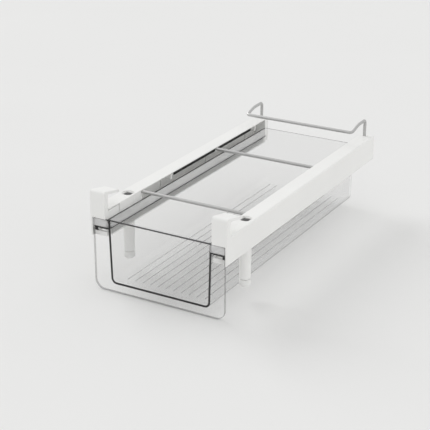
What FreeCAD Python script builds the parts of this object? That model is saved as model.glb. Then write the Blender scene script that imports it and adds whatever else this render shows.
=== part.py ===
import FreeCAD, Part
import math
import os
import Sketcher

# Hanging drawer for the underside of a refrigerator shelf.
# Two moulded C-shaped rails are joined by two steel rods. Front hooks and a bent wire at the
# rear hold the rails to the shelf, a screw clamp in each rail grips it from below, and a clear
# drawer slides in the rails.
#
# Working frame of every sketch: X to the right, Y to the back from the face of the drawer
# front, Z up from the rim of the drawer. Each piece's Placement then moves it, so that the
# finished part stands on z = 0 with its length centred on y = 0. Lengths are in millimetres.

SIZES = [
    # drawer front
    ("panel_inset", 0.6), ("panel_height", 76.8), ("panel_thickness", 3.0),
    ("panel_lower_radius", 10.0), ("panel_upper_radius", 2.0),
    # drawer tub
    ("tub_top_width", 118.1), ("tub_lean", 1.95), ("tub_depth", 69.2),
    ("tub_rear_gap", 3.1), ("tub_wall", 2.0), ("tub_corner_radius", 6.0),
    ("floor_rib_count", 11), ("floor_rib_side", 12.1), ("floor_rib_width", 1.2),
    ("floor_rib_height", 0.8), ("floor_rib_margin", 9.0),
    # runners moulded on the tub, with a hooked foot at the front and a stop tab at the rear
    ("runner_drop", 9.3), ("runner_thickness", 1.8), ("runner_overlap", 3.25),
    ("foot_length", 12.0), ("foot_lip_width", 4.0), ("foot_lip_drop", 3.1),
    ("tab_length", 12.0), ("tab_gap", 2.4),
    # rails
    ("side_gap", 1.7), ("rail_width", 16.85), ("rail_above_rim", 9.4), ("rail_height", 28.5),
    ("rail_length", 338.7), ("rail_wall", 2.0), ("rail_lip_edge", 1.0),
    ("rail_corner_radius", 1.5), ("rail_end_block", 8.0), ("slide_gap", 0.3),
    ("wall_rib_depth", 1.2), ("wall_rib_width", 2.0), ("web_height", 6.0), ("guard_wall", 1.2),
    ("under_rib_count", 7), ("under_rib_first", 92.0), ("under_rib_from_end", 13.0),
    ("groove_start", 126.0), ("groove_from_end", 42.0), ("groove_height", 2.2),
    ("groove_depth", 0.8), ("last_rib_from_end", 31.0),
    ("stop_back", 81.6), ("stop_lug_length", 8.0), ("stop_lug_height", 7.0),
    ("stop_lug_width", 8.0),
    # front hooks
    ("hook_wall", 3.0), ("hook_rise", 19.7), ("hook_round", 3.0), ("finger_reach", 26.3),
    ("finger_drop", 5.5), ("finger_thickness", 3.0), ("finger_root_round", 2.0),
    ("tenon_length", 21.0), ("tenon_height", 9.5), ("tenon_gap", 0.3),
    # screw clamps
    ("clamp_back", 52.7), ("clamp_inset", 7.55), ("sleeve_diameter", 12.4),
    ("sleeve_length", 34.9),
    ("spigot_diameter", 9.0), ("spigot_gap", 0.3), ("spigot_boss_wall", 2.7), ("knob_diameter", 12.0),
    ("knob_height", 8.2), ("knob_bevel", 2.4), ("knob_gap", 0.3), ("screw_diameter", 5.6),
    ("screw_fit", 0.1), ("screw_in_knob", 4.5), ("collar_diameter", 7.0),
    ("collar_height", 1.5), ("collar_gap", 0.1), ("pad_side", 8.0), ("pad_gap", 0.3),
    ("pad_sunk", 1.5), ("pad_length", 14.4), ("pad_roof", 2.0),
    ("tip_height", 2.0), ("pad_boss_wall", 2.9), ("pad_boss_depth", 8.0),
    ("pad_recess_diameter", 13.0), ("pad_recess_depth", 0.8),
    # steel rods and rear wire
    ("rod_diameter", 3.5), ("rod_cover", 0.7), ("rod_in_rail", 10.0), ("rod_fit", 0.05),
    ("front_rod_back", 68.3), ("rear_rod_back", 220.7), ("rod_boss_wall", 1.5),
    ("wire_diameter", 3.5), ("wire_inset", 6.4), ("wire_from_end", 4.5), ("wire_fit", 0.05),
    ("wire_in_rail", 14.0), ("wire_rise", 18.8), ("wire_bend", 3.5), ("wire_top_reach", 19.6),
    ("wire_top_fall", 0.2), ("wire_hook_bend", 40.0), ("wire_reach", 36.6),
    ("wire_fall", 4.8),
]

doc = FreeCAD.newDocument("hanging_drawer")
dims = doc.addObject("Spreadsheet::Sheet", "dims")
for row, (alias, value) in enumerate(SIZES, start=1):
    dims.set(f"A{row}", alias)
    dims.set(f"B{row}", str(value))
    dims.setAlias(f"B{row}", alias)
doc.recompute()

# Places that several pieces share, as expressions of the sheet's values.
FACE = "0"
RIM_HALF = "(dims.tub_top_width / 2)"
RAIL_INNER = f"({RIM_HALF} + dims.side_gap)"
RAIL_OUTER = f"({RAIL_INNER} + dims.rail_width)"
RAIL_TOP = "dims.rail_above_rim"
RAIL_BOTTOM = "(dims.rail_above_rim - dims.rail_height)"
CAVITY_OUTER = f"({RAIL_OUTER} - dims.rail_wall)"
CAVITY_TOP = f"({RAIL_TOP} - dims.rail_wall)"
RUNNER_TOP = "(-dims.runner_drop)"
RUNNER_UNDER = "(-dims.runner_drop - dims.runner_thickness)"
LEDGE_TOP = f"({RUNNER_UNDER} - dims.slide_gap)"
LEDGE_UNDER = f"({LEDGE_TOP} - dims.rail_wall)"
LIP_UNDER = f"({RUNNER_UNDER} - dims.foot_lip_drop)"
BEHIND_PANEL = "(dims.panel_thickness + dims.slide_gap)"
RAIL_FRONT = f"({BEHIND_PANEL} + dims.hook_wall)"
RAIL_REAR = f"({RAIL_FRONT} + dims.rail_length)"
TUB_REAR = f"({RAIL_REAR} - dims.rail_end_block - dims.tub_rear_gap)"
TUB_LENGTH = f"({TUB_REAR} - dims.panel_thickness)"
PANEL_HALF = f"({CAVITY_OUTER} - dims.panel_inset)"
FOOT_REACH = PANEL_HALF
TAB_REACH = f"({CAVITY_OUTER} - dims.wall_rib_depth - dims.tab_gap)"
GROOVE_END = f"({RAIL_REAR} - dims.groove_from_end)"
CLAMP_X = f"({RAIL_INNER} + dims.clamp_inset)"
SLEEVE_END = f"({RAIL_BOTTOM} - dims.sleeve_length)"
KNOB_TOP = f"({SLEEVE_END} - dims.knob_gap)"
TIP_TOP = f"({RAIL_TOP} - dims.pad_sunk)"
PAD_TOP = f"({TIP_TOP} - dims.tip_height)"
ROD_Z = f"({RAIL_TOP} - dims.rod_cover - dims.rod_diameter / 2)"
ROD_BOSS_WIDTH = "(dims.rod_diameter + 2 * dims.rod_boss_wall)"
ROD_BOSS_UNDER = f"({ROD_Z} - dims.rod_diameter / 2 - dims.rod_boss_wall)"
WIRE_X = f"({RAIL_INNER} + dims.wire_inset)"
WIRE_Y = f"({RAIL_REAR} - dims.wire_from_end)"


def size(expression):
    """Value of an expression of the sheet, in millimetres."""
    return float(dims.evalExpression(str(expression)))


def bind(thing, **expressions):
    """Bind properties of an object to expressions; a dot in a name is written as two underscores."""
    for name, expression in expressions.items():
        thing.setExpression(name.replace("__", "."), str(expression))


def stand(piece):
    """Move a finished piece from the working frame to the part's own frame."""
    bind(piece, Placement__Base__y=f"-{RAIL_REAR} / 2", Placement__Base__z="dims.panel_height")
    return piece


def new_body(name):
    body = doc.addObject("PartDesign::Body", name)
    body.Label = name
    return body


def new_sketch(body, plane, offset="0"):
    """Empty sketch on one of the body's origin planes, moved along the plane's normal."""
    sketch = body.newObject("Sketcher::SketchObject", "sketch")
    origin_plane = next(f for f in body.Origin.OriginFeatures if f.Role == plane)
    sketch.AttachmentSupport = [(origin_plane, "")]
    sketch.MapMode = "FlatFace"
    bind(sketch, AttachmentOffset__Base__z=offset)
    return sketch


def fix_point(sketch, geometry, position, across, up):
    """Tie one point of a sketch to the sketch's origin by two expressions."""
    for kind, axis, expression in (("DistanceX", -2, across), ("DistanceY", -1, up)):
        value = size(expression)
        if abs(value) < 1e-9:
            sketch.addConstraint(Sketcher.Constraint("PointOnObject", geometry, position, axis))
        else:
            constraint = Sketcher.Constraint(kind, -1, 1, geometry, position, value)
            sketch.setExpression(f"Constraints[{sketch.addConstraint(constraint)}]", expression)


def draw_polygon(sketch, corners):
    """Closed outline through corners, each a pair of expressions."""
    points = [FreeCAD.Vector(size(across), size(up), 0) for across, up in corners]
    lines = []
    for start, end in zip(points, points[1:] + points[:1]):
        lines.append(sketch.addGeometry(Part.LineSegment(start, end), False))
    for line, following in zip(lines, lines[1:] + lines[:1]):
        sketch.addConstraint(Sketcher.Constraint("Coincident", line, 2, following, 1))
    for line, (across, up) in zip(lines, corners):
        fix_point(sketch, line, 1, across, up)


def draw_rectangle(sketch, left, right, low, high):
    draw_polygon(sketch, [(left, low), (right, low), (right, high), (left, high)])


def draw_circle(sketch, across, up, diameter):
    centre = FreeCAD.Vector(size(across), size(up), 0)
    axis = FreeCAD.Vector(0, 0, 1)
    circle = sketch.addGeometry(Part.Circle(centre, axis, size(diameter) / 2), False)
    fix_point(sketch, circle, 3, across, up)
    constraint = Sketcher.Constraint("Diameter", circle, size(diameter))
    sketch.setExpression(f"Constraints[{sketch.addConstraint(constraint)}]", diameter)


def extrude(body, kind, sketch, length, backwards=False):
    """Pad or Pocket of a sketch; checks that a Pocket takes something away."""
    doc.recompute()
    before = body.Shape.Volume if body.Tip else 0.0
    feature = body.newObject(f"PartDesign::{kind}", kind)
    feature.Profile = sketch
    feature.Reversed = backwards
    bind(feature, Length=length)
    doc.recompute()
    grown = feature.Shape.Volume - before
    if grown * (1 if kind == "Pad" else -1) <= 0:
        raise ValueError(f"{kind} on {body.Label} changed the volume by {grown:.3f}")
    return feature


def round_edges(body, kind, radius, wanted):
    """Fillet or Chamfer on every edge of the body's tip for which wanted(edge) is true."""
    base = body.Tip
    names = [f"Edge{n}" for n, edge in enumerate(base.Shape.Edges, start=1) if wanted(edge)]
    if not names:
        raise ValueError(f"no edge to round on {body.Label}")
    feature = body.newObject(f"PartDesign::{kind}", kind)
    feature.Base = (base, names)
    bind(feature, **{"Radius" if kind == "Fillet" else "Size": radius})
    doc.recompute()
    return feature


def runs_along(edge, axis):
    """True for a straight edge that is parallel to the named axis."""
    if edge.Curve.TypeId != "Part::GeomLine":
        return False
    direction = edge.tangentAt(edge.FirstParameter)
    return abs(abs(getattr(direction, axis)) - 1) < 1e-6


def near(value, expression, slack=0.01):
    return abs(value - size(expression)) < slack


def sides(expression, side):
    """The expression on the right side (1) or its mirror image on the left (-1)."""
    return expression if side > 0 else f"(-{expression})"


def span(inner, outer, side):
    """Lowest and highest X of a stretch that lies between two distances from the middle."""
    return (inner, outer) if side > 0 else (f"(-{outer})", f"(-{inner})")


def add_block(body, kind, side, inner, outer, low, high, front, length):
    """Box-shaped Pad or Pocket that runs to the back from the plane y = front."""
    sketch = new_sketch(body, "XZ_Plane", f"-{front}")
    left, right = span(inner, outer, side)
    draw_rectangle(sketch, left, right, low, high)
    return extrude(body, kind, sketch, length, backwards=(kind == "Pad"))


# ---------------------------------------------------------------------------------- rails

def make_rail(name, side):
    """C-shaped rail: thin-lipped top, outer wall, and a ledge that is hollow underneath."""
    rail = new_body(name)
    section = new_sketch(rail, "XZ_Plane", f"-{RAIL_FRONT}")
    skirt = f"({RAIL_INNER} + dims.rail_wall)"
    lip_under = f"({RAIL_TOP} - dims.rail_lip_edge)"
    lip_root = f"({RAIL_INNER} + dims.rail_width / 4)"
    corners = [
        (RAIL_INNER, RAIL_TOP), (RAIL_OUTER, RAIL_TOP), (RAIL_OUTER, RAIL_BOTTOM),
        (CAVITY_OUTER, RAIL_BOTTOM), (CAVITY_OUTER, LEDGE_UNDER), (skirt, LEDGE_UNDER),
        (skirt, RAIL_BOTTOM), (RAIL_INNER, RAIL_BOTTOM), (RAIL_INNER, LEDGE_TOP),
        (CAVITY_OUTER, LEDGE_TOP), (CAVITY_OUTER, CAVITY_TOP), (lip_root, CAVITY_TOP),
        (RAIL_INNER, lip_under),
    ]
    draw_polygon(section, [(sides(across, side), up) for across, up in corners])
    extrude(rail, "Pad", section, "dims.rail_length", backwards=True)
    round_edges(rail, "Fillet", "dims.rail_corner_radius", lambda edge: runs_along(edge, "y")
                and near(abs(edge.CenterOfMass.x), RAIL_OUTER))

    # solid rear end, which holds the wire
    add_block(rail, "Pad", side, RAIL_INNER, f"({RAIL_OUTER} - dims.rail_corner_radius)",
              RAIL_BOTTOM, RAIL_TOP, f"({RAIL_REAR} - dims.rail_end_block)",
              "dims.rail_end_block")

    # shallow groove under the top, and upright ribs on the outer wall
    add_block(rail, "Pocket", side, CAVITY_OUTER, f"({CAVITY_OUTER} + dims.groove_depth)",
              f"({CAVITY_TOP} - dims.groove_height)", CAVITY_TOP, "dims.groove_start",
              f"({GROOVE_END} - dims.groove_start)")
    for back in ("dims.front_rod_back", "dims.groove_start", "dims.rear_rod_back",
                 f"({RAIL_REAR} - dims.last_rib_from_end)"):
        add_block(rail, "Pad", side, f"({CAVITY_OUTER} - dims.wall_rib_depth)",
                  f"({CAVITY_OUTER} + dims.groove_depth)", LEDGE_TOP, CAVITY_TOP,
                  f"({back} - dims.wall_rib_width / 2)", "dims.wall_rib_width")

    # webs that stiffen the top where no rod does, and a guard beside the clamp
    for back in ("dims.groove_start", f"({RAIL_REAR} - dims.last_rib_from_end)"):
        add_block(rail, "Pad", side, f"({RAIL_INNER} + dims.rail_lip_edge)", CAVITY_OUTER,
                  f"({CAVITY_TOP} - dims.web_height)", CAVITY_TOP,
                  f"({back} - dims.wall_rib_width / 2)", "dims.wall_rib_width")
    guard = f"({RAIL_INNER} + 2 * dims.tenon_gap)"
    guard_front = f"({RAIL_FRONT} + dims.tenon_length + dims.tenon_gap)"
    add_block(rail, "Pad", side, guard, f"({guard} + dims.guard_wall)",
              f"({CAVITY_TOP} - dims.tenon_height)", f"({RAIL_TOP} - dims.rail_lip_edge / 2)",
              guard_front, f"(dims.front_rod_back - {guard_front})")

    # bosses that take the ends of the cross rods, then their bores
    for back in ("dims.front_rod_back", "dims.rear_rod_back"):
        add_block(rail, "Pad", side, f"({RAIL_INNER} + dims.rail_lip_edge)", CAVITY_OUTER,
                  ROD_BOSS_UNDER, CAVITY_TOP, f"({back} - {ROD_BOSS_WIDTH} / 2)", ROD_BOSS_WIDTH)
        bore = new_sketch(rail, "YZ_Plane", sides(RAIL_INNER, side))
        draw_circle(bore, back, ROD_Z, "(dims.rod_diameter + 2 * dims.rod_fit)")
        extrude(rail, "Pocket", bore, "(dims.rod_in_rail + dims.slide_gap)",
                backwards=(side > 0))

    # lug on the ledge, which stops the drawer's rear tab when the drawer is fully out
    add_block(rail, "Pad", side, f"({CAVITY_OUTER} - dims.stop_lug_width)", CAVITY_OUTER,
              LEDGE_TOP, f"({LEDGE_TOP} + dims.stop_lug_height)",
              "(dims.stop_back - dims.stop_lug_length)", "dims.stop_lug_length")

    # cross ribs in the hollow underside
    under_rib = add_block(rail, "Pad", side, skirt, CAVITY_OUTER,
                          f"({RAIL_BOTTOM} + dims.rail_wall / 2)", LEDGE_UNDER,
                          "dims.under_rib_first", "dims.wall_rib_width")
    pattern = rail.newObject("PartDesign::LinearPattern", "under_ribs")
    pattern.Originals = [under_rib]
    y_axis = next(f for f in rail.Origin.OriginFeatures if f.Role == "Y_Axis")
    pattern.Direction = (y_axis, [""])
    bind(pattern, Occurrences="dims.under_rib_count",
         Length=f"{RAIL_REAR} - dims.under_rib_from_end - dims.under_rib_first")
    rail.Tip = pattern
    doc.recompute()

    # clamp: guide boss for the pad under the top, seat boss for the sleeve under the ledge
    clamp_x = sides(CLAMP_X, side)
    pad_hole = "(dims.pad_side + 2 * dims.pad_gap)"
    guide = new_sketch(rail, "XY_Plane", CAVITY_TOP)
    draw_circle(guide, clamp_x, "dims.clamp_back", f"({pad_hole} + 2 * dims.pad_boss_wall)")
    extrude(rail, "Pad", guide, f"(dims.pad_boss_depth - dims.rail_wall)", backwards=True)
    seat = new_sketch(rail, "XY_Plane", RAIL_BOTTOM)
    spigot_hole = "(dims.spigot_diameter + 2 * dims.spigot_gap)"
    draw_circle(seat, clamp_x, "dims.clamp_back",
                f"({spigot_hole} + 2 * dims.spigot_boss_wall)")
    extrude(rail, "Pad", seat, f"({LEDGE_UNDER} - {RAIL_BOTTOM})")
    recess = new_sketch(rail, "XY_Plane", RAIL_TOP)
    draw_circle(recess, clamp_x, "dims.clamp_back", "dims.pad_recess_diameter")
    extrude(rail, "Pocket", recess, "dims.pad_recess_depth")
    shaft_hole = new_sketch(rail, "XY_Plane", RAIL_TOP)
    low, high = span(f"({CLAMP_X} - {pad_hole} / 2)", f"({CLAMP_X} + {pad_hole} / 2)", side)
    draw_rectangle(shaft_hole, low, high, f"(dims.clamp_back - {pad_hole} / 2)",
                   f"(dims.clamp_back + {pad_hole} / 2)")
    extrude(rail, "Pocket", shaft_hole, "dims.pad_boss_depth")
    sleeve_hole = new_sketch(rail, "XY_Plane", LEDGE_TOP)
    draw_circle(sleeve_hole, clamp_x, "dims.clamp_back", spigot_hole)
    extrude(rail, "Pocket", sleeve_hole, f"({LEDGE_TOP} - {RAIL_BOTTOM})")

    # room in the ledge for the lip of the drawer's front foot, and the socket of the wire
    add_block(rail, "Pocket", side, f"({FOOT_REACH} - dims.foot_lip_width - 2 * dims.slide_gap)",
              CAVITY_OUTER, f"({LIP_UNDER} - dims.slide_gap)", LEDGE_TOP,
              RAIL_FRONT, "(dims.foot_length + dims.slide_gap - dims.hook_wall)")
    socket = new_sketch(rail, "XY_Plane", RAIL_TOP)
    draw_circle(socket, sides(WIRE_X, side), WIRE_Y, "(dims.wire_diameter + 2 * dims.wire_fit)")
    extrude(rail, "Pocket", socket, "(dims.wire_in_rail + dims.slide_gap)")
    return stand(rail)


# ---------------------------------------------------------------------------- front hooks

def make_front_hook(name, side):
    """End cap of a rail with a finger that reaches back over the front edge of the shelf.

    Its face is flush with the drawer's front panel, which shuts into a recess of the cap.
    """
    hook = new_body(name)
    low, high = span(RAIL_INNER, RAIL_OUTER, side)
    profile = new_sketch(hook, "YZ_Plane", low)
    hook_top = f"({RAIL_TOP} + dims.hook_rise)"
    tip_top = f"({hook_top} - dims.finger_drop)"
    fall = "(dims.finger_drop / dims.finger_reach)"
    draw_polygon(profile, [
        (FACE, RAIL_BOTTOM), (FACE, hook_top), ("dims.finger_reach", tip_top),
        ("dims.finger_reach", f"({tip_top} - dims.finger_thickness)"),
        (RAIL_FRONT, f"({hook_top} - {RAIL_FRONT} * {fall} - dims.finger_thickness)"),
        (RAIL_FRONT, RAIL_BOTTOM),
    ])
    extrude(hook, "Pad", profile, "dims.rail_width")
    round_edges(hook, "Fillet", "dims.hook_round", lambda edge: runs_along(edge, "x")
                and near(edge.CenterOfMass.y, FACE) and near(edge.CenterOfMass.z, hook_top))
    round_edges(hook, "Fillet", "dims.finger_root_round", lambda edge: runs_along(edge, "x")
                and near(edge.CenterOfMass.y, RAIL_FRONT)
                and edge.CenterOfMass.z > size(RAIL_TOP))
    round_edges(hook, "Fillet", "(dims.finger_thickness * 0.45)",
                lambda edge: runs_along(edge, "x")
                and near(edge.CenterOfMass.y, "dims.finger_reach"))

    # recess for the corner of the front panel, opening for the drawer's foot, and a tenon
    # that fills the upper part of the rail
    add_block(hook, "Pocket", side, RAIL_INNER, CAVITY_OUTER, RAIL_BOTTOM, "dims.slide_gap",
              FACE, BEHIND_PANEL)
    add_block(hook, "Pocket", side, RAIL_INNER, CAVITY_OUTER,
              f"({LIP_UNDER} - dims.slide_gap)", f"({CAVITY_TOP} - dims.tenon_height)",
              BEHIND_PANEL, "dims.hook_wall")
    round_edges(hook, "Fillet", "dims.rail_corner_radius", lambda edge: runs_along(edge, "y")
                and near(edge.CenterOfMass.z, RAIL_BOTTOM)
                and near(abs(edge.CenterOfMass.x), RAIL_OUTER))
    add_block(hook, "Pad", side, f"({RAIL_INNER} + 2 * dims.tenon_gap)",
              f"({CAVITY_OUTER} - dims.tenon_gap)", f"({CAVITY_TOP} - dims.tenon_height)",
              f"({CAVITY_TOP} - dims.tenon_gap)", RAIL_FRONT, "dims.tenon_length")
    round_edges(hook, "Chamfer", "dims.rail_lip_edge", lambda edge: near(
        edge.CenterOfMass.y, f"({RAIL_FRONT} + dims.tenon_length)") and runs_along(edge, "z"))
    return stand(hook)


# --------------------------------------------------------------------------- screw clamps

def make_turned(name, outline):
    """Round piece about a clamp's upright axis, from (radius, height) pairs."""
    body = new_body(name)
    sketch = new_sketch(body, "XZ_Plane")
    draw_polygon(sketch, outline)
    doc.recompute()
    turn = body.newObject("PartDesign::Revolution", "turn")
    turn.Profile = sketch
    turn.ReferenceAxis = (sketch, ["V_Axis"])
    turn.Angle = 360
    doc.recompute()
    return body


def stand_at_clamp(piece, side):
    bind(piece, Placement__Base__x=sides(CLAMP_X, side),
         Placement__Base__y=f"dims.clamp_back - {RAIL_REAR} / 2",
         Placement__Base__z="dims.panel_height")
    return piece


def make_sleeve(name, side):
    """Tube under the rail; its spigot sits in the rail and the screw turns in it."""
    bore = "(dims.screw_diameter / 2 + dims.screw_fit)"
    spigot = "(dims.spigot_diameter / 2)"
    outside = "(dims.sleeve_diameter / 2)"
    sleeve = make_turned(name, [
        (bore, LEDGE_TOP), (spigot, LEDGE_TOP), (spigot, RAIL_BOTTOM), (outside, RAIL_BOTTOM),
        (outside, SLEEVE_END), (bore, SLEEVE_END),
    ])
    return stand_at_clamp(sleeve, side)


def make_screw(name, side):
    """Long clamp screw, held in the knob below and working in the pad above.

    The collar just above the sleeve carries the push of the clamp.
    """
    radius = "(dims.screw_diameter / 2)"
    collar = "(dims.collar_diameter / 2)"
    collar_low = f"({LEDGE_TOP} + dims.collar_gap)"
    collar_high = f"({collar_low} + dims.collar_height)"
    top = f"({PAD_TOP} - dims.pad_roof - dims.slide_gap)"
    bottom = f"({KNOB_TOP} - dims.screw_in_knob)"
    screw = make_turned(name, [
        ("0", bottom), (radius, bottom), (radius, collar_low), (collar, collar_low),
        (collar, collar_high), (radius, collar_high), (radius, top), ("0", top),
    ])
    return stand_at_clamp(screw, side)


def make_knob(name, side):
    """Knob under the sleeve, bevelled at its lower end."""
    radius = "(dims.knob_diameter / 2)"
    hole = "(dims.screw_diameter / 2)"
    bottom = f"({KNOB_TOP} - dims.knob_height)"
    floor = f"({KNOB_TOP} - dims.screw_in_knob)"
    bevel = "dims.knob_bevel"
    knob = make_turned(name, [
        (hole, KNOB_TOP), (radius, KNOB_TOP), (radius, f"({bottom} + {bevel})"),
        (f"({radius} - {bevel})", bottom), ("0", bottom), ("0", floor), (hole, floor),
    ])
    return stand_at_clamp(knob, side)


def make_pad(name, side):
    """Square plunger that the screw lifts through the top of the rail."""
    pad = new_body(name)
    half = "(dims.pad_side / 2)"
    outline = new_sketch(pad, "XY_Plane", PAD_TOP)
    draw_rectangle(outline, f"(-{half})", half, f"(-{half})", half)
    extrude(pad, "Pad", outline, "dims.pad_length", backwards=True)
    bore = new_sketch(pad, "XY_Plane", f"({PAD_TOP} - dims.pad_roof)")
    draw_circle(bore, "0", "0", "(dims.screw_diameter + 2 * dims.screw_fit)")
    extrude(pad, "Pocket", bore, "(dims.pad_length - dims.pad_roof)")
    return stand_at_clamp(pad, side)


def make_tip(name, side):
    """Soft cap on the pad, which touches the shelf."""
    tip = new_body(name)
    half = "(dims.pad_side / 2)"
    outline = new_sketch(tip, "XY_Plane", PAD_TOP)
    draw_rectangle(outline, f"(-{half})", half, f"(-{half})", half)
    extrude(tip, "Pad", outline, "dims.tip_height")
    return stand_at_clamp(tip, side)


# ----------------------------------------------------------------------- rods and rear wire

def make_cross_rod(name, back):
    """Plain steel rod whose ends sit in the two rails."""
    rod = doc.addObject("Part::Cylinder", name)
    half = f"({RAIL_INNER} + dims.rod_in_rail)"
    bind(rod, Radius="dims.rod_diameter / 2", Height=f"2 * {half}")
    rod.Placement = FreeCAD.Placement(FreeCAD.Vector(), FreeCAD.Rotation(0, 90, 0))
    bind(rod, Placement__Base__x=f"-{half}", Placement__Base__y=f"{back} - {RAIL_REAR} / 2",
         Placement__Base__z=f"{ROD_Z} + dims.panel_height")
    rod.Label = name
    return rod


def bent_wire(points, bends, radius):
    """Round wire through points, with an arc of the given radius at each inner point."""
    pieces = []
    start = points[0]
    for before, corner, after, bend in zip(points, points[1:], points[2:], bends):
        back = (before - corner).normalize()
        ahead = (after - corner).normalize()
        half_angle = back.getAngle(ahead) / 2
        enter = corner + back * (bend / math.tan(half_angle))
        centre = corner + (back + ahead).normalize() * (bend / math.sin(half_angle))
        turn = 180 - math.degrees(2 * half_angle)
        disc = Part.Face(Part.Wire(Part.Circle(enter, -back, radius).toShape()))
        pieces.append(Part.makeCylinder(radius, (enter - start).Length, start, -back))
        pieces.append(disc.revolve(centre, ahead.cross(back), turn))
        start = corner + ahead * (bend / math.tan(half_angle))
    last = points[-1] - start
    pieces.append(Part.makeCylinder(radius, last.Length, start, last))
    return pieces[0].multiFuse(pieces[1:]).removeSplitter()


def make_rear_hanger(name):
    """Bent wire: up out of both rails, forward over the shelf's rear edge, down to a bar."""
    side_x = size(WIRE_X)
    post_y = size(WIRE_Y)
    rail_top = size(RAIL_TOP)
    crown_z = rail_top + size("dims.wire_rise")
    right = [
        FreeCAD.Vector(side_x, post_y, rail_top - size("dims.wire_in_rail")),
        FreeCAD.Vector(side_x, post_y, crown_z),
        FreeCAD.Vector(side_x, post_y - size("dims.wire_top_reach"),
                       crown_z - size("dims.wire_top_fall")),
        FreeCAD.Vector(side_x, post_y - size("dims.wire_reach"),
                       crown_z - size("dims.wire_fall")),
    ]
    left = [FreeCAD.Vector(-point.x, point.y, point.z) for point in reversed(right)]
    bend = size("dims.wire_bend")
    hook_bend = size("dims.wire_hook_bend")
    hanger = doc.addObject("Part::Feature", name)
    hanger.Shape = bent_wire(right + left, [bend, hook_bend, bend, bend, hook_bend, bend],
                             size("dims.wire_diameter") / 2)
    hanger.Label = name
    return stand(hanger)


# --------------------------------------------------------------------------------- drawer

def make_front_panel(name):
    """Flat clear front, wider and deeper than the tub, so that its lower edge is the grip."""
    panel = new_body(name)
    outline = new_sketch(panel, "XZ_Plane")
    draw_rectangle(outline, f"(-{PANEL_HALF})", PANEL_HALF, "(-dims.panel_height)", "0")
    extrude(panel, "Pad", outline, "dims.panel_thickness", backwards=True)
    for radius, height in (("dims.panel_lower_radius", "(-dims.panel_height)"),
                           ("dims.panel_upper_radius", "0")):
        round_edges(panel, "Fillet", radius,
                    lambda edge: runs_along(edge, "y") and near(edge.CenterOfMass.z, height))
    return stand(panel)


def make_tub(name):
    """Clear tub, open at the top, with runners, front feet, rear tabs and a ribbed floor."""
    tub = new_body(name)
    front = "dims.panel_thickness"
    rim = RIM_HALF
    foot = f"({rim} - dims.tub_lean)"
    bottom = "(-dims.tub_depth)"
    outside = new_sketch(tub, "XZ_Plane", f"-{front}")
    draw_polygon(outside, [(f"(-{foot})", bottom), (foot, bottom), (rim, "0"), (f"(-{rim})", "0")])
    extrude(tub, "Pad", outside, TUB_LENGTH, backwards=True)
    round_edges(tub, "Fillet", "dims.tub_corner_radius", lambda edge: runs_along(edge, "y")
                and near(edge.CenterOfMass.z, bottom))

    # runners, with a wide hooked foot behind the front and a stop tab at the rear
    runner_outer = f"({RAIL_INNER} + dims.runner_overlap)"
    wall_inside = f"({foot} - dims.tub_wall / 2)"
    for side in (1, -1):
        for reach, start, length in (
                (runner_outer, front, TUB_LENGTH),
                (FOOT_REACH, front, "dims.foot_length"),
                (TAB_REACH, f"({TUB_REAR} - dims.tab_length)", "dims.tab_length")):
            add_block(tub, "Pad", side, wall_inside, reach, RUNNER_UNDER, RUNNER_TOP,
                      start, length)
        add_block(tub, "Pad", side, f"({FOOT_REACH} - dims.foot_lip_width)", FOOT_REACH,
                  LIP_UNDER, RUNNER_UNDER, front, "dims.foot_length")

    # the hollow
    wall = "dims.tub_wall"
    inner_front = f"({front} + {wall})"
    hollow_length = f"({TUB_LENGTH} - 2 * {wall})"
    hollow = new_sketch(tub, "XZ_Plane", f"-{inner_front}")
    inner_bottom = f"({bottom} + {wall})"
    inner_foot = f"({foot} - {wall} + {wall} * ({rim} - {foot}) / dims.tub_depth)"
    draw_polygon(hollow, [(f"(-{inner_foot})", inner_bottom), (inner_foot, inner_bottom),
                          (f"({rim} - {wall})", "0"), (f"(-({rim} - {wall}))", "0")])
    extrude(tub, "Pocket", hollow, hollow_length)
    round_edges(tub, "Fillet", f"(dims.tub_corner_radius - {wall})", lambda edge: near(
        edge.CenterOfMass.z, inner_bottom) and edge.CenterOfMass.y > size(inner_front) - 0.01
        and edge.CenterOfMass.y < size(TUB_REAR) - size(wall) + 0.01
        and (runs_along(edge, "x") or runs_along(edge, "y")))

    # fine ribs along the floor
    first = f"(dims.floor_rib_side - {foot})"
    rib = new_sketch(tub, "XZ_Plane", f"-({inner_front} + dims.floor_rib_margin)")
    draw_rectangle(rib, f"({first} - dims.floor_rib_width / 2)",
                   f"({first} + dims.floor_rib_width / 2)",
                   f"({inner_bottom} - {wall} / 4)", f"({inner_bottom} + dims.floor_rib_height)")
    floor_rib = extrude(tub, "Pad", rib, f"({hollow_length} - 2 * dims.floor_rib_margin)",
                        backwards=True)
    pattern = tub.newObject("PartDesign::LinearPattern", "floor_ribs")
    pattern.Originals = [floor_rib]
    x_axis = next(f for f in tub.Origin.OriginFeatures if f.Role == "X_Axis")
    pattern.Direction = (x_axis, [""])
    bind(pattern, Occurrences="dims.floor_rib_count",
         Length=f"-2 * {first}")
    tub.Tip = pattern
    doc.recompute()
    return stand(tub)


pieces = []
for side, hand in ((-1, "left"), (1, "right")):
    pieces.append(make_rail(f"{hand}_rail", side))
    pieces.append(make_front_hook(f"{hand}_front_hook", side))
    pieces.append(make_sleeve(f"{hand}_screw_sleeve", side))
    pieces.append(make_screw(f"{hand}_clamp_screw", side))
    pieces.append(make_knob(f"{hand}_clamp_knob", side))
    pieces.append(make_pad(f"{hand}_clamp_pad", side))
    pieces.append(make_tip(f"{hand}_pad_tip", side))
pieces.append(make_cross_rod("front_cross_rod", "dims.front_rod_back"))
pieces.append(make_cross_rod("rear_cross_rod", "dims.rear_rod_back"))
pieces.append(make_rear_hanger("rear_hanger"))
pieces.append(make_tub("drawer_tub"))
pieces.append(make_front_panel("drawer_front_panel"))

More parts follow.
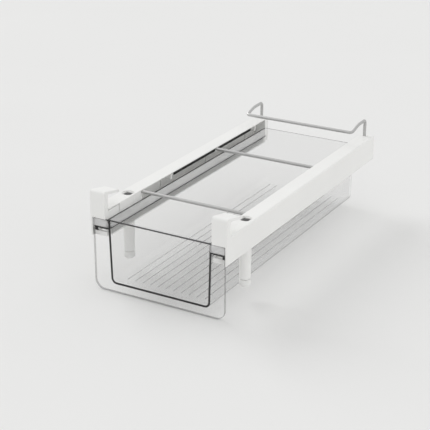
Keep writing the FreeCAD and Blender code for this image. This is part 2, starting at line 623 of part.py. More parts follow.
doc.recompute()
for thing in doc.Objects:
    if "Invalid" in thing.State or "Error" in thing.State:
        raise ValueError(f"{thing.Label} failed to recompute: {thing.State}")
for piece in pieces:
    if piece.Shape.isNull() or not piece.Shape.isValid():
        raise ValueError(f"{piece.Label} has no valid shape")

os.makedirs("parts", exist_ok=True)
for piece in pieces:
    piece.Shape.exportStep(f"parts/{piece.Label}.step")
    box = piece.Shape.BoundBox
    print(f"{piece.Label}: {len(piece.Shape.Solids)} solid, {piece.Shape.Volume:.0f} mm3, "
          f"x {box.XMin:.2f} {box.XMax:.2f}, y {box.YMin:.2f} {box.YMax:.2f}, "
          f"z {box.ZMin:.2f} {box.ZMax:.2f}")
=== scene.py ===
# %% [markdown]
# # A clear drawer that hangs under a refrigerator shelf
#
# The object is a pull-out drawer of clear polystyrene in two white moulded rails. The rails hang
# from a shelf on two front hooks and a bent wire at the rear, and a screw clamp in each rail
# grips the shelf from below. Its solids come from a CAD model, which is loaded first as a fixed
# frame. This lesson keeps the steel parts as they are, gives the moulded parts softened edges,
# models the clear parts and the clamps anew, and makes a finish for each real material.

# %% Load the CAD frame and note its size
import math
import bmesh
import bpy
from mathutils import Matrix, Vector


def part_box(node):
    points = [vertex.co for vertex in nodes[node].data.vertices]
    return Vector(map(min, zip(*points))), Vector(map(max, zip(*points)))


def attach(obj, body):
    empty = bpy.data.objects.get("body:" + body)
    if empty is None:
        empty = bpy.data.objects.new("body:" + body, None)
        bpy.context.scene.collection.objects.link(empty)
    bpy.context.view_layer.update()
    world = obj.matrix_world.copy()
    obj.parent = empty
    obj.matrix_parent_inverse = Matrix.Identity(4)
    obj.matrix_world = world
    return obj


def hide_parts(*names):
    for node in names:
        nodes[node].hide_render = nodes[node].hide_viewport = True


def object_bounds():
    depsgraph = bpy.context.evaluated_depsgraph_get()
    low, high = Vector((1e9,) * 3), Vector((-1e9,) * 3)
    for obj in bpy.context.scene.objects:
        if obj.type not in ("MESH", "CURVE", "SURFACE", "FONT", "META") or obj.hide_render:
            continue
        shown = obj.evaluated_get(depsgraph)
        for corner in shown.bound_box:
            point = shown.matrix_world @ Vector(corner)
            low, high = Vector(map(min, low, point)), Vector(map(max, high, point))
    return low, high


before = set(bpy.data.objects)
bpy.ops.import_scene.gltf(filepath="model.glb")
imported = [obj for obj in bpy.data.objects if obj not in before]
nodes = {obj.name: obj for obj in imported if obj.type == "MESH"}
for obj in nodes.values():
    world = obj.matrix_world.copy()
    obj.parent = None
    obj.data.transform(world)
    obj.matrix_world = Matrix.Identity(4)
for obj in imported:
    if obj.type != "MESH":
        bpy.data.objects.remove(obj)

cad_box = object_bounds()
cad_size = [round(1000 * side, 1) for side in cad_box[1] - cad_box[0]]
print("CAD nodes:", len(nodes), "size in mm:", cad_size)

# %% [markdown]
# ## Camera
#
# A camera far away with a long lens keeps the drawer's parallel edges nearly parallel. Its place
# and its turn are worked out once from the drawer's corners and written here as plain numbers.
# It is made before the pieces, so that every piece can be judged from the same view.

# %% Place the camera
camera_data = bpy.data.cameras.new("camera")
camera_data.lens = 102.8
camera_data.sensor_width = 36.0
camera_data.clip_end = 20.0
camera = bpy.data.objects.new("camera", camera_data)
camera.location = (0.5903379, -1.0843422, 0.5425609)
camera.rotation_euler = [math.radians(angle) for angle in (67.567, -0.0685, 30.0)]
bpy.context.scene.collection.objects.link(camera)
bpy.context.scene.camera = camera
print("camera height in mm:", round(1000 * camera.location.z))

# %% [markdown]
# ## Helpers for finishes
#
# Colours are written as sRGB hex values, as in any paint chart, but Blender's shaders work with
# linear light, so one function turns them. A second function adds a node with its settings and
# its links. Both are used by every finish below, which keeps each recipe short.

# %% Turn an sRGB hex colour into linear light
def linear(code):
    """Linear RGBA from a hex code such as F0F0EE."""
    values = [int(code[start:start + 2], 16) / 255 for start in (0, 2, 4)]
    return [v / 12.92 if v <= 0.04045 else ((v + 0.055) / 1.055) ** 2.4 for v in values] + [1.0]

print("middle grey is", round(linear("808080")[0], 3), "in linear light")

# %% Add one node with its settings and links
def add_node(tree, kind, links=None, sockets=None, **settings):
    """New node of a tree: its own settings, values of its sockets, and what feeds them."""
    node = tree.nodes.new(kind)
    for name, value in settings.items():
        setattr(node, name, value)
    for socket, value in (sockets or {}).items():
        node.inputs[socket].default_value = value
    for socket, source in (links or {}).items():
        tree.links.new(source, node.inputs[socket])
    return node


# %% Start a finish: an empty material with object coordinates and an output
def start_finish(name, stretch=(1.0, 1.0, 1.0)):
    """Material, its tree, its place on the object in metres, and its output node."""
    material = bpy.data.materials.new(name)
    material.use_nodes = True
    tree = material.node_tree
    tree.nodes.clear()
    place = add_node(tree, "ShaderNodeTexCoord").outputs["Object"]
    mapping = add_node(tree, "ShaderNodeMapping", {"Vector": place}, {"Scale": stretch})
    output = add_node(tree, "ShaderNodeOutputMaterial")
    return material, tree, mapping.outputs["Vector"], output


# %% [markdown]
# ## White moulded polypropylene
#
# The rails, hooks, sleeves and knobs are injection-moulded in white polypropylene. The mould is
# spark-eroded, so the skin has a fine even grain of about 0.3 mm, a satin gloss, and faint
# clouds where the melt cooled unevenly. The grain is a bump, because it is too shallow to change
# an outline, and the clouds are a small change of colour and gloss.

# %% Make the white moulded finish
def white_moulding(name, light, shade, roughness):
    """Satin white plastic, clouded between two whites, with a fine even grain."""
    material, tree, place, output = start_finish(name)
    clouds = add_node(tree, "ShaderNodeTexNoise", {"Vector": place},
                      {"Scale": 1 / 0.045, "Detail": 3.0, "Roughness": 0.55})
    grain = add_node(tree, "ShaderNodeTexNoise", {"Vector": place},
                     {"Scale": 1 / 0.0006, "Detail": 2.0, "Roughness": 0.6})
    colour = add_node(tree, "ShaderNodeMix", {0: clouds.outputs["Fac"]},
                      {6: linear(shade), 7: linear(light)}, data_type="RGBA")
    gloss = add_node(tree, "ShaderNodeMapRange", {"Value": clouds.outputs["Fac"]},
                     {"To Min": roughness - 0.05, "To Max": roughness + 0.07})
    bump = add_node(tree, "ShaderNodeBump", {"Height": grain.outputs["Fac"]},
                    {"Strength": 0.12, "Distance": 0.00015})
    shader = add_node(tree, "ShaderNodeBsdfPrincipled",
                      {"Base Color": colour.outputs[2], "Roughness": gloss.outputs[0],
                       "Normal": bump.outputs[0]}, {"IOR": 1.49})
    tree.links.new(shader.outputs[0], output.inputs["Surface"])
    return material


polypropylene = white_moulding("white_moulded_polypropylene", "F2F2F0", "ECECEA", 0.42)
knob_polypropylene = white_moulding("white_moulded_knob_polypropylene", "EFEFED", "E7E7E5", 0.36)
print("white finishes:", polypropylene.name, knob_polypropylene.name)

# %% [markdown]
# ## Steel: drawn rods and plated wire
#
# The rods are drawn through a die, which leaves streaks along their length, and then plated. The
# rear hanger is the same stock, bent cold. Streaks come from a noise that is stretched along the
# rod, and on the bent wire, where no single direction holds, from a fine even mottle.

# %% Make the steel finishes
def bright_steel(name, base, streak, stretch, grain_mm, roughness):
    """Plated steel with marks of a given size, stretched along one direction if asked."""
    material, tree, place, output = start_finish(name, stretch)
    marks = add_node(tree, "ShaderNodeTexNoise", {"Vector": place},
                     {"Scale": 1000 / grain_mm, "Detail": 4.0, "Roughness": 0.6})
    colour = add_node(tree, "ShaderNodeMix", {0: marks.outputs["Fac"]},
                      {6: linear(streak), 7: linear(base)}, data_type="RGBA")
    gloss = add_node(tree, "ShaderNodeMapRange", {"Value": marks.outputs["Fac"]},
                     {"To Min": roughness - 0.08, "To Max": roughness + 0.1})
    bump = add_node(tree, "ShaderNodeBump", {"Height": marks.outputs["Fac"]},
                    {"Strength": 0.08, "Distance": 0.0001})
    shader = add_node(tree, "ShaderNodeBsdfPrincipled",
                      {"Base Color": colour.outputs[2], "Roughness": gloss.outputs[0],
                       "Normal": bump.outputs[0]}, {"Metallic": 1.0})
    tree.links.new(shader.outputs[0], output.inputs["Surface"])
    return material


rod_steel = bright_steel("drawn_plated_rod_steel", "C6C6C5", "ACACAB", (0.02, 1.0, 1.0), 0.5, 0.4)
wire_steel = bright_steel("bent_plated_wire_steel", "CECECD", "B6B6B5", (1.0, 1.0, 1.0), 1.2, 0.46)
screw_steel = bright_steel("turned_screw_steel", "A8A8A6", "8E8E8C", (1.0, 1.0, 8.0), 0.8, 0.34)
print("steel finishes:", rod_steel.name, wire_steel.name, screw_steel.name)

# %% [markdown]
# ## Rubber of the clamp tips
#
# Each clamp ends in a cap of moulded rubber, so that it grips the glass of a shelf. Rubber is
# dull and slightly dusty on its high spots, which a fine noise between two greys gives. The same
# finish, in near black, makes thin strips under the rails' inner lips.

# %% Make the rubber finish
def dull_rubber(name, dark, dusty):
    """Dull rubber with dusty high spots."""
    material, tree, place, output = start_finish(name)
    dust = add_node(tree, "ShaderNodeTexNoise", {"Vector": place},
                    {"Scale": 1 / 0.0008, "Detail": 5.0, "Roughness": 0.7})
    colour = add_node(tree, "ShaderNodeMix", {0: dust.outputs["Fac"]},
                      {6: linear(dark), 7: linear(dusty)}, data_type="RGBA")
    bump = add_node(tree, "ShaderNodeBump", {"Height": dust.outputs["Fac"]},
                    {"Strength": 0.25, "Distance": 0.0002})
    shader = add_node(tree, "ShaderNodeBsdfPrincipled",
                      {"Base Color": colour.outputs[2], "Normal": bump.outputs[0]},
                      {"Roughness": 0.82, "IOR": 1.52})
    tree.links.new(shader.outputs[0], output.inputs["Surface"])
    return material


tip_rubber = dull_rubber("moulded_tip_rubber", "3A3A3A", "626262")
near_black_strip = dull_rubber("near_black_lip_strip", "0A0A0A", "1E1E1E")
print("rubber finishes:", tip_rubber.name, near_black_strip.name)

# %% [markdown]
# ## Clear polystyrene
#
# The drawer is crystal polystyrene. A flat wall lets nearly all light through and mirrors a
# little, more at a glancing angle. An edge looks quite different: light that enters it runs
# sideways inside the wall, so the edge shows whatever is far off to the side and reads as a dark
# line. Real refraction would need many more samples and would throw black shadows without
# caustics, so each wall is a mix of a transparent shader and a glossy one. Haze is the share of
# the glossy one when a wall is seen straight on, and glance is how much more of it shows at a
# glancing angle. Edges and thick places get finishes of their own, with more haze and a darker
# body. These paint the dark lines in as painted shade, in place of refraction:
#
# - wall and panel: the flat walls
# - painted dark edge: the tub's front wall seen end-on where it meets the panel, and the ends of
#   the runners behind it, painted near black for the dark line that such an edge shows
# - edge, side and rim: the tub's upper edges, the panel's outline, and the tub's rear edge
# - rib: the crests of the floor's ribs
# - bend: the rounded lower edges, which only darken at a glancing angle
# - painted light band: the sides above the runners and the panel's upper corners, made lighter
#   and hazier; painted shade strip: the sides just below the runners, made darker for the shade
#   of the rails' skirts behind them

# %% Make the clear finishes
def clear_polystyrene(name, tint, body, haze, roughness, glance=0.6):
    """Clear wall: its tint, the body colour of its glossy share, and how hazy it is."""
    material, tree, place, output = start_finish(name)
    flow = add_node(tree, "ShaderNodeTexNoise", {"Vector": place},
                    {"Scale": 1 / 0.03, "Detail": 2.0, "Distortion": 0.6})
    cloud = add_node(tree, "ShaderNodeMapRange", {"Value": flow.outputs["Fac"]},
                     {"To Min": haze * 0.85, "To Max": haze * 1.15})
    facing = add_node(tree, "ShaderNodeLayerWeight", None, {"Blend": 0.5}).outputs["Facing"]
    steep = add_node(tree, "ShaderNodeMath", {0: facing}, {1: 5.0}, operation="POWER")
    share = add_node(tree, "ShaderNodeMath", {0: steep.outputs[0], 2: cloud.outputs[0]}, {1: glance},
                     operation="MULTIPLY_ADD", use_clamp=True)
    gloss = add_node(tree, "ShaderNodeMapRange", {"Value": flow.outputs["Fac"]},
                     {"To Min": roughness, "To Max": roughness + 0.05})
    skin = add_node(tree, "ShaderNodeBsdfPrincipled", {"Roughness": gloss.outputs[0]},
                    {"Base Color": linear(body), "IOR": 1.59})
    through = add_node(tree, "ShaderNodeBsdfTransparent", None, {"Color": linear(tint)})
    mix = add_node(tree, "ShaderNodeMixShader",
                   {0: share.outputs[0], 1: through.outputs[0], 2: skin.outputs[0]})
    tree.links.new(mix.outputs[0], output.inputs["Surface"])
    return material


clear_wall = clear_polystyrene("clear_polystyrene_wall", "FCFCFC", "EAEAEA", 0.02, 0.05)
clear_panel = clear_polystyrene("clear_polystyrene_panel", "FEFEFE", "F4F4F4", 0.01, 0.04)
# painted shade: a near-black finish for edges seen end-on, such as where the tub meets the panel
clear_painted_dark_edge = clear_polystyrene("clear_polystyrene_painted_dark_edge", "2A2A2A", "080808", 0.92, 0.35)
# painted dark lines in place of refraction: edges, sides, rim, rib crests and bends
clear_edge = clear_polystyrene("clear_polystyrene_edge", "A0A0A0", "4C4C4C", 0.55, 0.15)
clear_side = clear_polystyrene("clear_polystyrene_side", "DEDEDE", "9C9C9C", 0.25, 0.15)
clear_rim = clear_polystyrene("clear_polystyrene_rim", "D5D5D5", "909090", 0.3, 0.1)
clear_rib = clear_polystyrene("clear_polystyrene_rib", "E0E0E0", "808080", 0.4, 0.1)
clear_bend = clear_polystyrene("clear_polystyrene_bend", "FCFCFC", "161616", 0.0, 0.1, glance=1.2)
# painted light: a lighter, hazier copy for the strips above the runners and the panel's upper
# corners
clear_painted_light_band = clear_polystyrene("clear_polystyrene_painted_light_band", "FAFAFA", "FAFAFA", 0.38, 0.2)
# painted shade: a darker copy for the strips just below the runners
clear_painted_shade_strip = clear_polystyrene("clear_polystyrene_painted_shade_strip", "EEEEEE", "B4B4B4", 0.08, 0.1)
print("finishes so far:", len(bpy.data.materials))

# %% [markdown]
# ## Helpers for pieces
#
# A piece starts as a bmesh, Blender's editable mesh. Three helpers finish it: one makes a block
# of a given span, one picks edges that run along an axis, and one turns the bmesh into an object
# that rides on its CAD body and stands for the CAD nodes it replaces.

# %% Make a block and pick its edges
MM = 0.001


def block(bm, low, high):
    """Box between two corners in millimetres; returns its vertices."""
    centre = [(a + b) / 2 * MM for a, b in zip(low, high)]
    span = [(b - a) * MM for a, b in zip(low, high)]
    place = Matrix.Translation(centre) @ Matrix.Diagonal((*span, 1.0))
    return bmesh.ops.create_cube(bm, size=1.0, matrix=place)["verts"]


def edges_along(bm, axis, wanted=lambda middle: True):
    """Edges parallel to an axis (0, 1, 2) whose middle, in millimetres, is wanted."""
    found = []
    for edge in bm.edges:
        way = (edge.verts[1].co - edge.verts[0].co).normalized()
        middle = (edge.verts[0].co + edge.verts[1].co) / 2 / MM
        if abs(way[axis]) > 0.999 and wanted(middle):
            found.append(edge)
    return found


def soften(bm, edges, radius, segments=3):
    """Round edges by a radius in millimetres."""
    return bmesh.ops.bevel(bm, geom=edges, offset=radius * MM, offset_type="OFFSET",
                           segments=segments, profile=0.5, affect="EDGES", clamp_overlap=True,
                           material=-1)


def cut_across(bm, axis, height):
    """Cut every face where it crosses a height, in millimetres, on an axis (0, 1, 2)."""
    way = [float(number == axis) for number in range(3)]
    bmesh.ops.bisect_plane(bm, geom=bm.verts[:] + bm.edges[:] + bm.faces[:], dist=1e-7,
                           plane_co=[height * MM * part for part in way], plane_no=way)


# %% Turn a bmesh into a piece of the scene
def finish_piece(bm, name, body, finishes, replaces=(), angle=40):
    """Object at the origin with smooth shading, which rides on a body and replaces CAD nodes."""
    mesh = bpy.data.meshes.new(name)
    bm.to_mesh(mesh)
    bm.free()
    for finish in finishes:
        mesh.materials.append(finish)
    mesh.shade_smooth()
    mesh.set_sharp_from_angle(angle=math.radians(angle))
    piece = bpy.data.objects.new(name, mesh)
    bpy.context.scene.collection.objects.link(piece)
    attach(piece, body)
    if replaces:
        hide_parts(*replaces)
    print(f"{name}: {len(mesh.polygons)} faces")
    return piece


# %% [markdown]
# ## Rails and front hooks
#
# The rails are long C-shaped mouldings with ribs, bosses and holes, and the CAD solids already
# have all of these. What a solid lacks is the small radius that every moulded edge has, which
# catches a thin line of light. So a copy of each solid's mesh is welded, its flat areas are
# dissolved into single faces, and its long straight edges get a small bevel. Building the
# C-section anew from a cube would cost many cuts and gain nothing.

# %% Copy a moulded CAD node and round its long edges
def softened_copy(node, body, radius, shortest):
    """Copy of a node with its edges longer than the shortest rounded, all in millimetres."""
    bm = bmesh.new()
    bm.from_mesh(nodes[node].data)
    bmesh.ops.remove_doubles(bm, verts=bm.verts, dist=1e-6)
    bmesh.ops.dissolve_limit(bm, angle_limit=math.radians(1), verts=bm.verts, edges=bm.edges)
    sharp = [edge for edge in bm.edges
             if len(edge.link_faces) == 2 and edge.calc_length() > shortest * MM
             and edge.calc_face_angle() > math.radians(50)]
    soften(bm, sharp, radius, 2)
    piece = finish_piece(bm, f"{node}_moulding", body, [polypropylene], [node])
    even = piece.modifiers.new("even_shading", "WEIGHTED_NORMAL")
    even.keep_sharp = True
    return piece


for hand in ("left", "right"):
    softened_copy(f"{hand}_rail", "frame", 0.35, 14.0)
    softened_copy(f"{hand}_front_hook", "frame", 0.5, 7.0)

# %% [markdown]
# ## Dark strips under the rail lips
#
# Two thin near-black strips lie against the underside of each rail's inner lip, behind the
# clamp, and make a dark line there. Each is a thin bar with slightly rounded edges, which stops
# short of the rods' bosses and of the webs.

# %% Make the dark strips of both rails
lip_thickness = 1.05
lip_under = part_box("left_rail")[1].z / MM - lip_thickness
strip_inner, strip_outer, strip_drop = 60.5, 61.3, 3.0
for hand, sign in (("left", -1), ("right", 1)):
    for part, start, end in (("long", -43.5, 44.5), ("rear", 52.5, 128.0)):
        bm = bmesh.new()
        low_x, high_x = sorted((sign * strip_inner, sign * strip_outer))
        block(bm, (low_x, start, lip_under - strip_drop), (high_x, end, lip_under))
        soften(bm, edges_along(bm, 1), 0.12, 2)
        finish_piece(bm, f"{hand}_{part}_lip_strip", "frame", [near_black_strip])

# %% [markdown]
# ## Screw clamps
#
# Under each rail hangs a clamp: a tapered sleeve, a screw inside it, and a round-ended knob at
# the bottom that turns the screw. The screw lifts a square pad with a rubber tip through the top
# of the rail. Sleeve and knob are round, so each is a profile spun about the clamp's axis, and
# the pad and its tip are small blocks with rounded corners.

# %% Spin a profile about a clamp's axis
def spun(profile, centre, steps=48):
    """Closed round shell from (radius, height) pairs in millimetres, from the axis out and back."""
    bm = bmesh.new()
    points = [bm.verts.new((centre[0] + radius * MM, centre[1], height * MM))
              for radius, height in profile]
    edges = [bm.edges.new(pair) for pair in zip(points, points[1:] + points[:1])]
    bmesh.ops.spin(bm, geom=points + edges, cent=(centre[0], centre[1], 0), axis=(0, 0, 1),
                   dvec=(0, 0, 0), angle=math.tau, steps=steps, use_merge=True)
    bmesh.ops.remove_doubles(bm, verts=bm.verts, dist=1e-6)
    bmesh.ops.recalc_face_normals(bm, faces=bm.faces)
    return bm


# %% Make the sleeves, knobs, pads and tips
bore, spigot, sleeve_radius, sleeve_foot, sleeve_end = 2.9, 4.5, 6.2, 5.7, 5.2
knob_radius, knob_hole, hole_depth, hole_floor, crown_radius = 6.0, 2.8, 4.4, 0.4, 3.4

for hand in ("left", "right"):
    low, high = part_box(f"{hand}_screw_sleeve")
    axis = ((low.x + high.x) / 2, (low.y + high.y) / 2)
    bottom, top = low.z / MM, high.z / MM
    under_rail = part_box(f"{hand}_rail")[0].z / MM
    sleeve = spun([(bore, bottom), (sleeve_end, bottom), (sleeve_foot, bottom + 0.5),
                   (sleeve_radius, under_rail - 0.8), (sleeve_radius, under_rail - 0.05),
                   (spigot, under_rail - 0.05), (spigot, top), (bore, top)], axis)
    finish_piece(sleeve, f"{hand}_tapered_sleeve", "frame", [polypropylene],
                 [f"{hand}_screw_sleeve"])
    low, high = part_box(f"{hand}_clamp_knob")
    bottom, top = low.z / MM, high.z / MM
    turn = [math.radians(step * 15) for step in range(7)]
    crown = [(knob_radius - crown_radius + crown_radius * math.sin(angle),
              bottom + crown_radius - crown_radius * math.cos(angle)) for angle in turn]
    knob = spun([(knob_hole, top), (knob_hole, top - hole_depth), (hole_floor, top - hole_depth),
                 (hole_floor, bottom)] + crown
                + [(knob_radius, top - 0.6), (knob_radius - 0.5, top)], axis)
    finish_piece(knob, f"{hand}_round_knob", f"{hand}_screw", [knob_polypropylene],
                 [f"{hand}_clamp_knob"])
    for node, radius, finish, slot in (
            (f"{hand}_clamp_pad", 0.5, knob_polypropylene, "knob_plastic"),
            (f"{hand}_pad_tip", 0.7, tip_rubber, "soft_rubber")):
        corners = [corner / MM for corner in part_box(node)]
        bm = bmesh.new()
        block(bm, *corners)
        soften(bm, bm.edges[:], radius)
        finish_piece(bm, f"{node}_moulding", f"{hand}_pad", [finish], [node])

# %% [markdown]
# ## Steel parts
#
# The rods, the rear wire and the clamp screws are already round and smooth in the CAD model, so
# they stay, and only their finish changes.

# %% Give the steel nodes their finish
for node, finish in (("front_cross_rod", rod_steel), ("rear_cross_rod", rod_steel),
                     ("rear_hanger", wire_steel), ("left_clamp_screw", screw_steel),
                     ("right_clamp_screw", screw_steel)):
    nodes[node].data.materials.clear()
    nodes[node].data.materials.append(finish)
    print(node, "gets", finish.name)

# %% [markdown]
# ## Front panel
#
# The front is a flat 3 mm plate, wider and deeper than the tub behind it, so that its lower edge
# is the grip. Its lower corners are well rounded. The plate is a block whose corner edges are
# bevelled first, and then the outline of both faces gets a small bevel. Those thin strips and
# the plate's sides are what the eye reads as the outline of a clear plate, so they get a finish
# that is a little darker, a painted dark outline. The plate is cut along the tub's sides and 8 mm
# below its top, so that its top over the tub's front wall can carry a painted dark edge and its
# upper corners can carry painted light.

# %% Make the clear front panel
tub_half = 59.05
low, high = [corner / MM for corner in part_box("drawer_front_panel")]
corner_foot = high.z - 8.0
panel_finishes = [clear_panel, clear_side, clear_painted_dark_edge, clear_painted_light_band]
bm = bmesh.new()
block(bm, low, high)
soften(bm, edges_along(bm, 1, lambda middle: middle.z < low.z + 1), 10.0, 10)
soften(bm, edges_along(bm, 1, lambda middle: middle.z > high.z - 1), 2.0, 5)
outline = [edge for edge in bm.edges if edge.is_manifold
           and any(abs(face.normal.y) > 0.9 for face in edge.link_faces)
           and not all(abs(face.normal.y) > 0.9 for face in edge.link_faces)]
soften(bm, outline, 0.3, 1)
cut_across(bm, 0, -tub_half)
cut_across(bm, 0, tub_half)
cut_across(bm, 2, corner_foot)
# faces: painted light in the upper corners, a painted dark edge on the top over the tub, and a
# darker painted outline on the sides
for face in bm.faces:
    middle = face.calc_center_median() / MM
    if abs(face.normal.y) > 0.9:
        in_corner = middle.z > corner_foot and abs(middle.x) > tub_half
        finish = clear_painted_light_band if in_corner else clear_panel
    elif middle.z > high.z - 0.5 and abs(middle.x) < tub_half:
        finish = clear_painted_dark_edge
    else:
        finish = clear_side
    face.material_index = panel_finishes.index(finish)
finish_piece(bm, "clear_front_panel", "drawer", panel_finishes,
             ["drawer_front_panel"], angle=25)

# %% [markdown]
# ## Tub
#
# The tub is one moulding with 2 mm walls that lean in slightly towards the floor, so that it
# leaves the mould. It starts as a block. Its lower vertices move inwards for the lean, its long
# lower edges are rounded, the top is opened, and the shell gets its thickness inwards. The sides
# are cut at the runners, so that the strips above can carry painted light and the strips just
# below painted shade. Tub and panel are glued. Where they meet, the tub's front wall is seen
# end-on and shows a dark line, so a thin ring of the same section, open at the top and painted
# near black, stands between them. It overlaps both by a hair, so that nothing hangs free.

# %% Make an open channel with the tub's section
tub_low, tub_high = [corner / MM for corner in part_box("drawer_tub")]
floor_half, floor_z, corner, rear_corner, wall = 57.1, tub_low.z, 6.0, 3.0, 2.0
hair = 0.02
front_y, rear_y = tub_low.y - hair, tub_high.y


def tub_channel(start, end, is_ring):
    """Thin shell of the tub's section, open on top; a ring is open at both ends as well."""
    bm = bmesh.new()
    block(bm, (-tub_half, start, floor_z), (tub_half, end, tub_high.z))
    for vert in bm.verts:
        if vert.co.z < floor_z * MM + 1e-6:
            vert.co.x *= floor_half / tub_half
    soften(bm, edges_along(bm, 1, lambda middle: middle.z < floor_z + 1), corner, 8)
    if not is_ring:
        rear = [edge for edge in bm.edges
                if min(vert.co.y for vert in edge.verts) > end * MM - 1e-6]
        below_rim = [edge for edge in rear
                     if max(vert.co.z for vert in edge.verts) < tub_high.z * MM - 1e-6
                     or abs(edge.verts[0].co.z - edge.verts[1].co.z) > 0.01]
        soften(bm, below_rim, rear_corner, 4)
    opened = [face for face in bm.faces
              if face.normal.z > 0.99 or (is_ring and abs(face.normal.y) > 0.99)]
    bmesh.ops.delete(bm, geom=opened, context="FACES")
    return bm


# %% Cut the side walls at the runners, give them thickness and mark the edges
runner_top, runner_low = tub_high.z - 9.3, tub_high.z - 11.1
# the painted shade reaches 8 mm below the runners
painted_shade_low = runner_top - 8.0
dark_ring_depth = 0.6
past_front_wall = front_y + 3
tub_finishes = [clear_wall, clear_edge, clear_rim, clear_bend, clear_painted_light_band, clear_painted_shade_strip, clear_panel]
bm = tub_channel(front_y + dark_ring_depth - hair, rear_y, is_ring=False)
cut_across(bm, 2, runner_top)
cut_across(bm, 2, painted_shade_low)
bmesh.ops.solidify(bm, geom=bm.faces[:], thickness=wall * MM)
for face in bm.faces:
    middle = face.calc_center_median() / MM
    is_side = abs(face.normal.x) > 0.9 and middle.y < rear_y - rear_corner
    finish = clear_wall
    if face.normal.z > 0.9 and middle.z > tub_high.z - 0.2:
        if middle.y > rear_y - wall:
            finish = clear_rim
        elif middle.y > past_front_wall:
            finish = clear_edge
    elif abs(face.normal.y) > 0.9 and middle.y < past_front_wall:
        finish = clear_panel
    # painted light above the runners, painted shade just below them
    elif middle.z > runner_top and is_side:
        finish = clear_painted_light_band
    elif middle.z > painted_shade_low and is_side:
        finish = clear_painted_shade_strip
    elif -0.85 < face.normal.z < -0.1 and abs(middle.x) > floor_half - corner:
        finish = clear_bend
    face.material_index = tub_finishes.index(finish)
finish_piece(bm, "clear_tub_shell", "drawer", tub_finishes, ["drawer_tub"],
             angle=25)

# %% Make the painted dark ring where the tub meets the panel
# painted near black: the tub's front wall, seen end-on where it meets the panel
bm = tub_channel(front_y, front_y + dark_ring_depth, is_ring=True)
bmesh.ops.solidify(bm, geom=bm.faces[:], thickness=wall * MM)
finish_piece(bm, "tub_front_painted_dark_ring", "drawer", [clear_painted_dark_edge], angle=25)

# %% [markdown]
# ## Runners, feet and tabs
#
# Along each side of the tub runs a thin flange that slides on the rail's ledge. Behind the front
# it widens to a foot with a hooked lip, and at the rear to a tab that meets the rail's stop. They
# are thin plates of the same clear moulding. Each is a block that reaches into its neighbour, as
# a moulded flange grows out of its wall. The inner faces and the front ends are seen end-on
# through the wall and look dark, so they get the painted dark-edge finish.

# %% Make the runners with their feet and tabs
runner_reach, tab_reach, foot_reach = 64.0, 72.0, 75.0
foot_rear, tab_front = front_y + 12, rear_y - 12
lip_width, lip_low = 4.0, runner_low - 3.1
joint = 0.05
runner_finishes = [clear_wall, clear_painted_dark_edge]

for hand, sign in (("left", -1), ("right", 1)):
    bm = bmesh.new()
    for inner_x, outer_x, bottom, top, start, end in (
            (tub_half - wall / 2, runner_reach, runner_low, runner_top, front_y, rear_y),
            (runner_reach - joint, foot_reach, runner_low, runner_top, front_y, foot_rear),
            (foot_reach - lip_width, foot_reach, lip_low, runner_low + joint, front_y, foot_rear),
            (runner_reach - joint, tab_reach, runner_low, runner_top, tab_front, rear_y)):
        low_x, high_x = sorted((sign * inner_x, sign * outer_x))
        block(bm, (low_x, start, bottom), (high_x, end, top))
    # front ends and inner faces get the painted dark edge
    for face in bm.faces:
        middle = face.calc_center_median() / MM
        is_front_end = face.normal.y < -0.5 and middle.y < front_y + 1
        is_inner_face = abs(face.normal.x) > 0.5 and abs(middle.x) < tub_half + 0.5
        finish = clear_painted_dark_edge if is_front_end or is_inner_face else clear_wall
        face.material_index = runner_finishes.index(finish)
    finish_piece(bm, f"{hand}_runner", "drawer", runner_finishes, angle=25)

# %% [markdown]
# ## Floor ribs
#
# Eleven low ribs run along the floor and keep packets off it. Each is a narrow block, sunk a
# little into the floor, with its two upper long edges rounded. A clear rib this small only shows
# as a fine grey line, so its narrow crest has a hazier, greyer finish than its flanks, a painted
# line in place of refraction.

# %% Make the floor ribs
rib_count, rib_pitch, rib_half_width, rib_height, rib_margin, rib_sunk = 11, 9.0, 0.6, 0.8, 11.0, 0.1
rib_finishes = [clear_panel, clear_rib]
rib_foot = floor_z + wall
bm = bmesh.new()
for number in range(rib_count):
    middle_x = (number - (rib_count - 1) / 2) * rib_pitch
    block(bm, (middle_x - rib_half_width, tub_low.y + rib_margin, rib_foot - rib_sunk),
          (middle_x + rib_half_width, rear_y - rib_margin, rib_foot + rib_height))
soften(bm, edges_along(bm, 1, lambda middle: middle.z > rib_foot + rib_height - 0.1), 0.5, 2)
# the crest's hazier, greyer finish paints the rib's fine line
for face in bm.faces:
    finish = clear_rib if face.normal.z > 0.9 else clear_panel
    face.material_index = rib_finishes.index(finish)
finish_piece(bm, "floor_ribs", "drawer", rib_finishes, angle=25)

# %% [markdown]
# ## Floor, light and background
#
# The part stands on a plain pale floor. The key light is a soft lamp from the upper left, a
# little from behind, and the world fills the rest. The world is brighter near the horizon than
# overhead, as in a room with pale walls, so upright faces don't fall dark. The camera, glossy
# surfaces and glass see one even pale grey instead, so that metal and clear walls mirror the same
# background that stands behind them. A line of sight crosses many clear faces here, and each
# counts as one bounce, so the limit of transparent bounces is raised. At the usual limit of 8,
# the places behind many walls turn too dark.

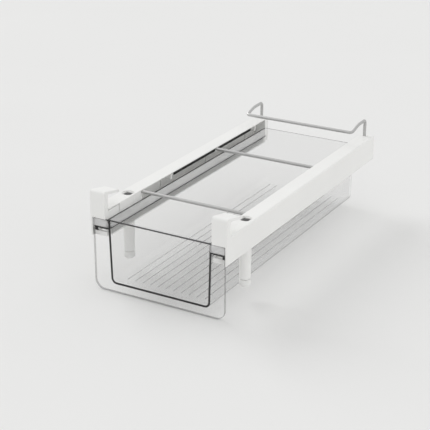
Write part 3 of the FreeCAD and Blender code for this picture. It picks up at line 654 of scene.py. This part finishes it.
# %% Lay the floor
bm = bmesh.new()
floor_reach = 6.0
bmesh.ops.create_grid(bm, x_segments=2, y_segments=2, size=floor_reach,
                      matrix=Matrix.Translation((0, 2.0, -0.0004)))
mesh = bpy.data.meshes.new("floor")
bm.to_mesh(mesh)
bm.free()
floor = bpy.data.objects.new("floor", mesh)
bpy.context.scene.collection.objects.link(floor)
material, tree, place, output = start_finish("pale_floor")
mottle = add_node(tree, "ShaderNodeTexNoise", {"Vector": place}, {"Scale": 1 / 0.2, "Detail": 2.0})
colour = add_node(tree, "ShaderNodeMix", {0: mottle.outputs["Fac"]},
                  {6: linear("E9E9E8"), 7: linear("EBEBEA")}, data_type="RGBA")
shader = add_node(tree, "ShaderNodeBsdfPrincipled", {"Base Color": colour.outputs[2]},
                  {"Roughness": 0.95, "Specular IOR Level": 0.1})
tree.links.new(shader.outputs[0], output.inputs["Surface"])
mesh.materials.append(material)
print("floor is", round(2 * floor_reach), "m wide")

# %% Hang the key lamp
key_data = bpy.data.lights.new("key", "SUN")
key_data.energy = 1.1
key_data.angle = math.radians(40)
key = bpy.data.objects.new("key", key_data)
key.rotation_euler = Vector((1.45, -0.4, -1.0)).to_track_quat("-Z", "Y").to_euler()
bpy.context.scene.collection.objects.link(key)
print("key lamp angle:", round(math.degrees(key_data.angle)), "degrees")

# %% Set the world's light and the background
world = bpy.data.worlds.new("studio")
bpy.context.scene.world = world
world.use_nodes = True
tree = world.node_tree
tree.nodes.clear()
direction = add_node(tree, "ShaderNodeTexCoord").outputs["Generated"]
axes = add_node(tree, "ShaderNodeSeparateXYZ", {"Vector": direction})
ramp = add_node(tree, "ShaderNodeMapRange", {"Value": axes.outputs["Z"]},
                {"From Min": 0.0, "From Max": 1.0, "To Min": 0.955, "To Max": 0.71})
sided = add_node(tree, "ShaderNodeMath", {0: axes.outputs["X"], 2: ramp.outputs[0]}, {1: 0.18},
                 operation="MULTIPLY_ADD")
room = add_node(tree, "ShaderNodeBackground", {"Strength": sided.outputs[0]},
                {"Color": linear("FFFFFF")})
behind = add_node(tree, "ShaderNodeBackground", None, {"Color": linear("ECECEC"), "Strength": 1.0})
rays = add_node(tree, "ShaderNodeLightPath").outputs
mirrored = add_node(tree, "ShaderNodeMath", {0: rays["Is Camera Ray"], 1: rays["Is Glossy Ray"]},
                    operation="ADD")
seen = add_node(tree, "ShaderNodeMath", {0: mirrored.outputs[0], 1: rays["Is Transmission Ray"]},
                operation="ADD", use_clamp=True)
mix = add_node(tree, "ShaderNodeMixShader",
               {0: seen.outputs[0], 1: room.outputs[0], 2: behind.outputs[0]})
output = add_node(tree, "ShaderNodeOutputWorld", {"Surface": mix.outputs[0]})
bpy.context.scene.view_settings.view_transform = "Standard"
bpy.context.scene.cycles.transparent_max_bounces = 48
print("view transform:", bpy.context.scene.view_settings.view_transform)
